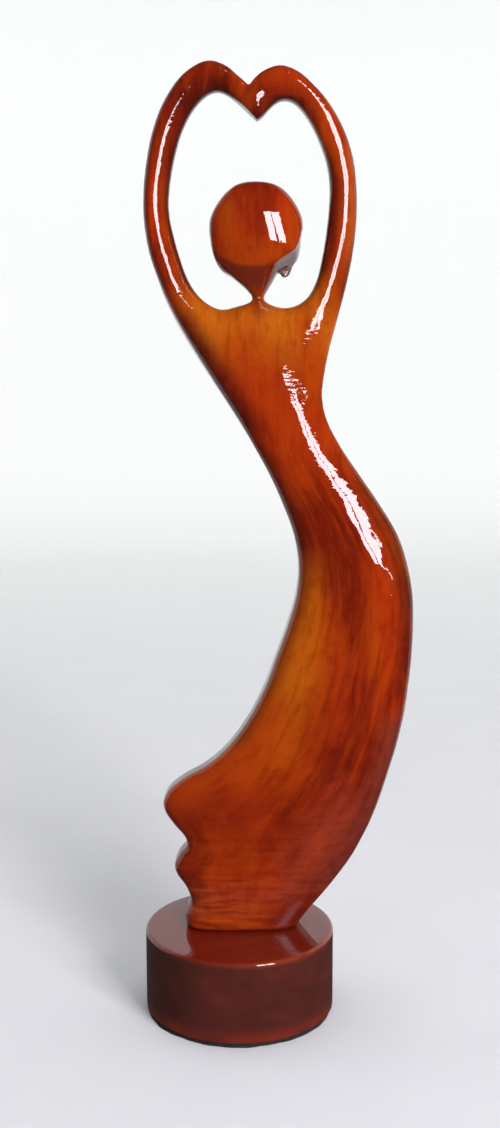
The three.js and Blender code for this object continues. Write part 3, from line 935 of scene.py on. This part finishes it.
# painted glow: the lower edge of the side is paler, as if lit by the pale floor
floor_glow_band = (1 - z.ramp(2, 9)) * clouds.ramp(0.3, 0.6)
wood = dark.mix(wood, colour(118, 38, 20), floor_glow_band * 0.6)
wood = dark.mix(wood, colour(54, 20, 15), grain.ramp(0.5, 0.75) * 0.2)
drag = dark.noise(spot, (9.0, 9.0, 3.0), 1.0, 0.5)
skin_waves = dark.bump(drag, VARNISH_WAVE / 5)
dark.done(plinth, base_color=wood, roughness=0.035, ior=1.5, normal=skin_waves)

# %% [markdown]
# ## The felt's finish
#
# Felt is wool pressed flat: black, dull, and rough to the touch. A fine noise gives both its grey flecks
# and its hairs.

# %% Colour the felt
black = Finish("felt_black")
spot = black.place()
wool = black.noise(spot, (0.5, 0.5, 0.5), 4.0)
hairs = black.bump(wool, 0.0003)
fleck = black.mix(colour(14, 12, 13), colour(40, 36, 37), wool.ramp(0.35, 0.7))
black.done(felt, base_color=fleck, roughness=0.95, normal=hairs)

# %% [markdown]
# ## The paper
#
# The figurine stands on pale paper that sweeps up behind it without a corner. The paper is a profile
# swept round in two halves, which meet in a line just behind the plinth. The half behind shows in the
# varnish and lights the sawn sides. The half in front is hidden from reflections: the real figurine stood
# with its front to a dim room, and a pale floor mirrored in the plinth would wash out its dark stain.
# Upwards the paper is painted whiter and glows a little: painted light for the brighter lit paper higher up.


# %% Sweep the paper
FLOOR_JOIN = 0.08         # metres behind the plinth's axis
ROOM_RADIUS, ROOM_BEND, ROOM_HEIGHT = 2.3, 0.9, 2.8
PAPER_GLOW = 0.13


def swept(name, profile, start, turn, steps=96):
    """Sweeps a profile of (radius, height) points round an upright axis, from one angle on."""
    angles = start + np.linspace(0, turn, steps + 1)
    points = [(r * cos(a), FLOOR_JOIN + r * sin(a), z) for a in angles for r, z in profile]
    rows = len(profile)
    faces = [(k * rows + i, k * rows + i + 1, (k + 1) * rows + i + 1, (k + 1) * rows + i)
             for k in range(steps) for i in range(rows - 1)]
    mesh = bpy.data.meshes.new(name)
    mesh.from_pydata(points, [], faces)
    mesh.validate()
    mesh.shade_smooth()
    sheet = bpy.data.objects.new(name, mesh)
    bpy.context.scene.collection.objects.link(sheet)
    print(f"{name}: {len(mesh.polygons)} faces")
    return sheet


bend = np.linspace(0, pi / 2, 17)[1:]
profile = [(0.0, 0.0), (0.4, 0.0), (ROOM_RADIUS - ROOM_BEND, 0.0)]
profile += [(ROOM_RADIUS - ROOM_BEND * (1 - sin(a)), ROOM_BEND * (1 - cos(a))) for a in bend]
profile.append((ROOM_RADIUS, ROOM_HEIGHT))
backdrop = swept("paper_back", profile, 0.0, pi)
foreground = swept("paper_front", profile, pi, pi)
foreground.visible_glossy = False

# %% Colour the paper
paper = Finish("paper")
spot = paper.place()
_, y, z = paper.axes(spot)
pulp = paper.noise(spot, (60.0, 60.0, 60.0), 3.0)
upright = (y * 0.3 + z).ramp(-40, 700)
floor_tone = paper.mix(colour(203, 204, 208), colour(210, 211, 214), pulp)
paper_colour = paper.mix(floor_tone, colour(246, 248, 246), upright)
white_glow = paper.mix((0.0, 0.0, 0.0, 1.0), (1.0, 1.0, 1.0, 1.0), upright)
paper.done(backdrop, base_color=paper_colour, roughness=0.9, specular_ior_level=0.0,
           emission_color=white_glow, emission_strength=PAPER_GLOW)
foreground.data.materials.append(paper.material)

# %% [markdown]
# ## The light
#
# A tall window stands to the right behind the camera, and its two panes draw the long white lines on the
# varnish and the small bright window on the head. How far round it stands was read from those lines: they
# run where the wood faces half-way between the camera and the window. A large soft light above lifts the
# colours, and it is hidden from reflections too, so it leaves no mark on the varnish.


# %% Hang the lights
def soft_light(name, azimuth, height, distance, width, tall, watts, tint):
    """A rectangular light, aimed at the figure's chest from an angle round it and an angle above it."""
    data = bpy.data.lights.new(name, "AREA")
    data.shape, data.size, data.size_y = "RECTANGLE", width, tall
    data.energy, data.color = watts, tint
    light = bpy.data.objects.new(name, data)
    aim = Vector((0.01, 0.0, 0.28))
    way = Vector((sin(radians(azimuth)) * cos(radians(height)),
                  -cos(radians(azimuth)) * cos(radians(height)), sin(radians(height))))
    light.location = aim + way * distance
    light.rotation_euler = way.to_track_quat("Z", "Y").to_euler()
    bpy.context.scene.collection.objects.link(light)
    print(f"{name}: {watts} W at {distance} m")
    return light


WINDOW = {"height": 16.0, "distance": 1.5, "width": 0.25, "tall": 1.0, "watts": 16.5,
          "tint": (0.98, 0.95, 1.0)}
soft_light("window_left", 25.7, **WINDOW)
soft_light("window_right", 37.3, **WINDOW)
ceiling = soft_light("ceiling", azimuth=180.0, height=80.0, distance=2.0, width=2.2, tall=1.4, watts=20.5,
                     tint=(1.0, 1.0, 1.0))
ceiling.visible_glossy = False

# %% Dim the rest of the room
ROOM_STRENGTH = 0.1
world = bpy.data.worlds.new("room")
bpy.context.scene.world = world
world.use_nodes = True
room = world.node_tree.nodes["Background"]
room.inputs["Color"].default_value = colour(186, 182, 184)
room.inputs["Strength"].default_value = ROOM_STRENGTH
bpy.context.scene.view_settings.view_transform = "Standard"
print("strength of the room's light:", ROOM_STRENGTH)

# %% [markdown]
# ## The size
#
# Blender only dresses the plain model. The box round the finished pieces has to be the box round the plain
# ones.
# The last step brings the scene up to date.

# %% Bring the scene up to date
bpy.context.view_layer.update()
